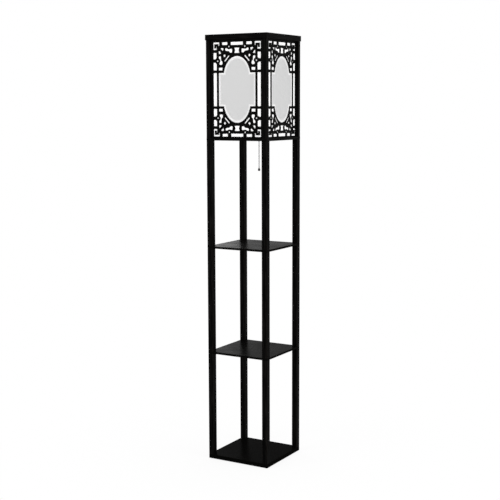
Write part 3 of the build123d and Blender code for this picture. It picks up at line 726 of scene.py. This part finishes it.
def beadString(shape, lowest, count):
    bead, wire = beads["radius"], beads["wire"]
    for place in range(count):
        middle = lowest + bead + place * beads["pitch"]
        profile = []
        for row in range(beads["rows"] + 1):
            angle = math.pi * (row / beads["rows"] - 0.5)
            radius = 0 if row in (0, beads["rows"]) else bead * math.cos(angle)
            profile.append((radius, middle + bead * math.sin(angle)))
        turned(shape, profile, beads["sides"], beads["centre"])
        if place < count - 1:
            low = middle + bead - beads["wireOverlap"]
            high = middle + beads["pitch"] - bead + beads["wireOverlap"]
            rod = [(0, low), (wire, low), (wire, high), (0, high)]
            turned(shape, rod, beads["wireSides"], beads["centre"])


for name, node in (("bead_chain_lead", "chain_lead"), ("bead_chain_pull", "pull_chain")):
    low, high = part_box(node)
    count = 1 + round(((high.z - low.z) / mm - 2 * beads["radius"]) / beads["pitch"])
    shape = bmesh.new()
    beadString(shape, low.z / mm, count)
    if node == "pull_chain":
        top = high.z / mm - sleeve["below"]
        foot, lip = top - sleeve["length"], sleeve["lip"]
        wide, narrow = sleeve["radius"], sleeve["radius"] - lip
        turned(shape, [
            (0, foot), (narrow, foot), (wide, foot + lip), (wide, top - lip), (narrow, top), (0, top),
        ], sleeve["sides"], beads["centre"])
    standFor(finishedMesh(name, shape), node, node)

# Knob: one turned barrel with a collar round the chain, its heights measured from its foot
knob = {
    "profile": (
        (0, 0), (2.4, 0.05), (3.3, 0.3), (4.0, 0.9), (4.35, 1.8), (4.4, 3.2), (4.35, 5.0), (4.2, 6.6),
        (3.85, 7.7), (3.1, 8.5), (2.6, 8.9), (2.45, 9.2), (2.5, 9.5), (2.5, 10.1), (2.2, 10.45), (0, 10.5)),
    "sides": 28,
}
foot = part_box("chain_knob")[0].z / mm
shape = bmesh.new()
profile = [(radius, foot + height) for radius, height in knob["profile"]]
turned(shape, profile, knob["sides"], beads["centre"])
standFor(finishedMesh("turned_knob", shape), "chain_knob", "pull_chain")
print("chain and knob made")

# Bulb: a pear-shaped opal globe on a rolled screw cap, its levels measured from the floor
bulb = {
    "neck": 13.5, "neckLevel": 1308.2, "belly": 30, "bellyLevel": 1348.2, "crownLevel": 1372.2,
    "rows": 18, "sides": 48,
}
profile = [(0, bulb["neckLevel"])]
for row in range(bulb["rows"] + 1):
    share = row / bulb["rows"]
    swell = (1 - math.cos(math.pi * share)) / 2
    height = bulb["neckLevel"] + share * (bulb["bellyLevel"] - bulb["neckLevel"])
    profile.append((bulb["neck"] + swell * (bulb["belly"] - bulb["neck"]), height))
for row in range(1, bulb["rows"] + 1):
    angle = math.pi / 2 * row / bulb["rows"]
    radius = 0 if row == bulb["rows"] else bulb["belly"] * math.cos(angle)
    rise = (bulb["crownLevel"] - bulb["bellyLevel"]) * math.sin(angle)
    profile.append((radius, bulb["bellyLevel"] + rise))
shape = bmesh.new()
turned(shape, profile, bulb["sides"])
standFor(finishedMesh("bulb_envelope", shape), "bulb_globe", "bulb")


# A rolled screw thread: the ring's radius rises and falls as it climbs round the axis, and the thread
# runs out towards both ends
def threadedWall(shape, radius, depth, low, high, thread):
    sides, pitch, runOut = thread["sides"], thread["pitch"], thread["runOut"]
    rows = round((high - low) / pitch * thread["rowsPerTurn"])
    rings = []
    for row in range(rows + 1):
        height = low + (high - low) * row / rows
        fade = min(1, (height - low) / runOut, (high - height) / runOut)
        ring = []
        for side in range(sides):
            angle = math.tau * side / sides
            wave = (1 + math.cos(math.tau * height / pitch - angle)) / 2
            reach = radius - depth * (1 - wave * fade)
            across, deep = reach * math.cos(angle), reach * math.sin(angle)
            ring.append(shape.verts.new((across * mm, deep * mm, height * mm)))
        rings.append(ring)
    for lower, upper in zip(rings, rings[1:]):
        for side in range(sides):
            following = (side + 1) % sides
            shape.faces.new((lower[side], lower[following], upper[following], upper[side]))
    return rings[0], rings[-1]


screwCap = {
    "radius": 13.0, "depth": 0.9, "low": 1286.2, "high": 1308.2,
    "pitch": 3.629, "sides": 40, "rowsPerTurn": 10, "runOut": 3,
}
shape = bmesh.new()
for ring in threadedWall(
        shape, screwCap["radius"], screwCap["depth"], screwCap["low"], screwCap["high"], screwCap):
    shape.faces.new(ring)
standFor(finishedMesh("bulb_screw_cap", shape, sharpAngle=60), "bulb_cap", "bulb")
print("bulb made")


# A tube with an inner and an outer wall, each a crest radius with the depth of its thread
def threadedTube(node, inner, outer, thread):
    shape = bmesh.new()
    low, high = (corner.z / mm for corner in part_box(node))
    walls = [threadedWall(shape, *wall, low, high, thread) for wall in (inner, outer)]
    for inside, outside in zip(*walls):
        for side in range(thread["sides"]):
            following = (side + 1) % thread["sides"]
            shape.faces.new((inside[side], inside[following], outside[following], outside[side]))
    return shape


# The holder's rolled brass sleeve follows the thread of the cap
holderThread = {
    "bore": 13.5, "wall": 0.5, "depth": 0.6,
    "pitch": screwCap["pitch"], "sides": 40, "rowsPerTurn": 10, "runOut": 2,
}
crest, depth = holderThread["bore"] + holderThread["depth"], holderThread["depth"]
shape = threadedTube("lamp_thread", (crest, depth), (crest + holderThread["wall"], depth), holderThread)
standFor(finishedMesh("holder_thread", shape, sharpAngle=60), "lamp_thread", "frame")

# The nipple's real thread has a 1 mm pitch, and is cut a little coarser here so that it shows
nipple = {
    "radius": 5.0, "bore": 3.5, "depth": 0.45, "pitch": 1.3, "sides": 28, "rowsPerTurn": 6, "runOut": 1,
}
shape = threadedTube("threaded_nipple", (nipple["bore"], 0), (nipple["radius"], nipple["depth"]), nipple)
standFor(finishedMesh("hollow_nipple", shape, sharpAngle=60), "threaded_nipple", "frame")

# Pieces that keep the shape of their node, joined along its seams and shaded smooth
rounds = {
    "planes": 24,
    "flatAngle": 1,  # facets that differ by less are one
    "onCircleMm": 0.005,
    "nearCircle": 0.95,  # of the radius
    "sharpAngle": 40,
}


# Cuts the facets of a round piece finer along planes through the upright axis, and lets each new
# point on one of its circles out to the true radius
def finerRounds(shape, radii):
    walls = [edge for edge in shape.edges if all(abs(face.normal.z) < facing for face in edge.link_faces)]
    bmesh.ops.dissolve_limit(shape, angle_limit=math.radians(rounds["flatAngle"]), edges=walls)
    close = rounds["onCircleMm"] * mm
    for place in range(rounds["planes"]):
        angle = math.pi * place / rounds["planes"]
        across = Vector((-math.sin(angle), math.cos(angle), 0))
        whole = [*shape.verts, *shape.edges, *shape.faces]
        cut = bmesh.ops.bisect_plane(shape, geom=whole, dist=seamGap, plane_co=(0, 0, 0), plane_no=across)
        for vert in cut["geom_cut"]:
            if not isinstance(vert, bmesh.types.BMVert):
                continue
            others = [edge.other_vert(vert).co for edge in vert.link_edges]
            level = [other for other in others if abs(other.z - vert.co.z) < close]
            for radius in radii:
                beside = [other for other in level if abs(other.xy.length - radius * mm) < close]
                least = rounds["nearCircle"] * radius * mm
                if len(beside) == 2 and least < vert.co.xy.length < radius * mm:
                    vert.co.xy = vert.co.xy.normalized() * radius * mm
    bmesh.ops.remove_doubles(shape, verts=shape.verts, dist=fineGap)
    bmesh.ops.dissolve_degenerate(shape, edges=shape.edges, dist=fineGap)


# piece, node, body, slot, and the radii of the circles that are cut finer
for name, node, body, slot, radii in (
        ("holder_shell", "socket_shell", "frame", "shell", (19.5, 17.2)),
        ("holder_cup", "socket_cup", "frame", "shell", (19.5, 12.0, 5.2)),
        ("holder_guide", "chain_guide", "frame", "shell", ()),
        ("holder_body", "socket_body", "frame", "insulator", ()),
        ("holder_spool", "switch_spool", "spool", "insulator", ()),
        ("holder_contact", "centre_contact", "frame", "brass", (4.0,)),
        ("bulb_contact", "bulb_tip", "bulb_tip", "bulb_cap_metal", ()),
        ("base_hex_bolts", "base_bolts", "frame", "steel", ())):
    shape = bmesh.new()
    shape.from_mesh(nodes[node].data)
    bmesh.ops.remove_doubles(shape, verts=shape.verts, dist=seamGap)
    if radii:
        finerRounds(shape, radii)
    standFor(finishedMesh(name, shape, rounds["sharpAngle"]), node, body)

# Pan-head screws through the two feet of the strap, with a cross recess for the driver
screw = {
    "head": ((2.5, 2.0), (3.15, 1.6), (3.5, 0.8), (3.5, 0)),  # radius, and height over the strap
    "shank": 1.6,
    "sides": 32,
    "recessReach": 1.7,
    "recessHalfWidth": 0.4,
    "recessDepth": 0.9,
    "strapThickness": 2.5,
}


# One screw that points up, with its seat at the origin
def panHeadScrew(length):
    top = -screw["head"][0][1]
    shank = screw["shank"]
    shape = bmesh.new()
    head = [(radius, -height) for radius, height in screw["head"]]
    turned(shape, head + [(shank, 0), (shank, length), (0, length)], screw["sides"])
    rim = [edge for edge in shape.edges if edge.is_boundary]
    reach, half = screw["recessReach"], screw["recessHalfWidth"]
    arm = [(reach, -half), (reach, half), (half, half)]
    corners = []
    for quarter in range(4):
        corners += arm
        arm = [(-y, x) for x, y in arm]
    mouth = [shape.verts.new((x * mm, y * mm, top * mm)) for x, y in corners]
    depth = [shape.verts.new((x * mm, y * mm, (top + screw["recessDepth"]) * mm)) for x, y in corners]
    lips = [shape.edges.new((one, two)) for one, two in zip(mouth, mouth[1:] + mouth[:1])]
    bmesh.ops.triangle_fill(shape, edges=rim + lips, use_beauty=True, normal=(0, 0, -1))
    for place, corner in enumerate(mouth):
        onward = (place + 1) % len(mouth)
        shape.faces.new((corner, mouth[onward], depth[onward], depth[place]))
    shape.faces.new(depth)
    return shape


low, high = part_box("strap_screws")
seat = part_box("socket_strap")[1].y / mm - screw["strapThickness"]
screws = bmesh.new()
for end in (-1, 1):
    one = panHeadScrew(high.y / mm - seat)
    turn = Vector((0, end, 0)).to_track_quat("Z", "X").to_matrix().to_4x4()
    place = Matrix.Translation((0, end * seat * mm, (low.z + high.z) / 2))
    one.transform(place @ turn)
    loose = bpy.data.meshes.new("one_screw")
    one.to_mesh(loose)
    one.free()
    screws.from_mesh(loose)
    bpy.data.meshes.remove(loose)
standFor(finishedMesh("pan_head_screws", screws, sharpAngle=35), "strap_screws", "frame")
print("lamp holder and screws made")


# Floor, light and background of a plain white studio
studio = {
    "floorSize": 14.0,
    "floorColour": "#fcfcfc",
    "cameraWhite": 0.9,  # plain white share of the floor at the lamp, where the rest keeps the shadow
    "shadowFade": (0.2, 1.0),  # metres from the lamp, to where it is all plain white
    "ambient": 0.45,
}
softBoxes = {
    "key_box": {"spot": (-1.6, -3.4, 2.6), "aimHeight": 1.3, "size": 2.2, "power": 60},
    "fill_box": {"spot": (3.6, -1.0, 1.8), "aimHeight": 1.3, "size": 2.0, "power": 51},
    "top_box": {"spot": (0.2, 0.4, 4.2), "aimHeight": 0.8, "size": 2.4, "power": 45},
    "back_box": {"spot": (-2.9, 2.7, 2.0), "aimHeight": 1.3, "size": 2.2, "power": 24},
    "rear_box": {"spot": (-0.2, 4.0, 2.2), "aimHeight": 1.3, "size": 1.8, "power": 26},
}


# 1 for what the camera sees, straight on, in a gloss or through glass
def whiteRays(tree):
    rays = addNode(tree, "ShaderNodeLightPath")
    shiny = addNode(tree, "ShaderNodeMath", {
        0: rays.outputs["Is Camera Ray"], 1: rays.outputs["Is Glossy Ray"]}, operation="MAXIMUM")
    return addNode(tree, "ShaderNodeMath", {
        0: shiny.outputs[0], 1: rays.outputs["Is Transmission Ray"]}, operation="MAXIMUM")


floorMaterial, tree, place = newMaterial("pale_studio_floor")
matt = addNode(tree, "ShaderNodeBsdfDiffuse", {"Color": srgb(studio["floorColour"])})
white = addNode(tree, "ShaderNodeEmission", {"Color": (1, 1, 1, 1), "Strength": 1.0})
far = addNode(tree, "ShaderNodeVectorMath", {0: place.outputs["Object"]}, operation="LENGTH")
near, clear = studio["shadowFade"]
fade = addNode(tree, "ShaderNodeMapRange", {
    "Value": far.outputs["Value"], "From Min": near, "From Max": clear,
    "To Min": studio["cameraWhite"], "To Max": 1.0})
seen = addNode(tree, "ShaderNodeMath", {
    0: whiteRays(tree).outputs[0], 1: fade.outputs[0]}, operation="MULTIPLY")
mixed = addNode(tree, "ShaderNodeMixShader", {0: seen.outputs[0], 1: matt.outputs[0], 2: white.outputs[0]})
addNode(tree, "ShaderNodeOutputMaterial", {"Surface": mixed.outputs[0]})

floorMesh = bpy.data.meshes.new("studio_floor")
half = studio["floorSize"] / 2
corners = [(-half, -half, 0), (half, -half, 0), (half, half, 0), (-half, half, 0)]
floorMesh.from_pydata(corners, [], [(0, 1, 2, 3)])
floorMesh.materials.append(floorMaterial)
floor = bpy.data.objects.new("studio_floor", floorMesh)
bpy.context.scene.collection.objects.link(floor)

world = bpy.data.worlds.new("white_studio")
bpy.context.scene.world = world
world.use_nodes = True
tree = world.node_tree
tree.nodes.clear()
level = addNode(tree, "ShaderNodeMapRange", {
    "Value": whiteRays(tree).outputs[0], "To Min": studio["ambient"], "To Max": 1.0})
sky = addNode(tree, "ShaderNodeBackground", {"Color": (1, 1, 1, 1), "Strength": level.outputs[0]})
addNode(tree, "ShaderNodeOutputWorld", {"Surface": sky.outputs[0]})

for name, box in softBoxes.items():
    light = bpy.data.lights.new(name, "AREA")
    light.size = box["size"]
    light.energy = box["power"]
    hung = bpy.data.objects.new(name, light)
    hung.location = box["spot"]
    look = Vector((0, 0, box["aimHeight"])) - Vector(box["spot"])
    hung.rotation_euler = look.to_track_quat("-Z", "Y").to_euler()
    bpy.context.scene.collection.objects.link(hung)
print("studio set")

# Camera at the photograph's viewing angle: a long lens as high as the shade, tilted down
shot = {
    "azimuth": 30.277,
    "distance": 4.107,
    "height": 1.342,
    "aimHeight": 0.8006,
    "aimLeft": 0.0157,
    "lensMm": 78.72,
    "sensorMm": 36,
    "roll": -0.194,
}
azimuth = math.radians(shot["azimuth"])
away = Vector((math.sin(azimuth), -math.cos(azimuth), 0))
right = Vector((math.cos(azimuth), math.sin(azimuth), 0))
eye = away * shot["distance"] + Vector((0, 0, shot["height"]))
aim = Vector((0, 0, shot["aimHeight"])) - right * shot["aimLeft"]
lens = bpy.data.cameras.new("photo_camera")
lens.lens = shot["lensMm"]
lens.sensor_width = shot["sensorMm"]
camera = bpy.data.objects.new("photo_camera", lens)
camera.location = eye
camera.rotation_euler = (aim - eye).to_track_quat("-Z", "Y").to_euler()
camera.rotation_euler.rotate_axis("Z", math.radians(shot["roll"]))
bpy.context.scene.collection.objects.link(camera)
bpy.context.scene.camera = camera
bpy.context.scene.view_settings.view_transform = "Standard"
print("camera set")
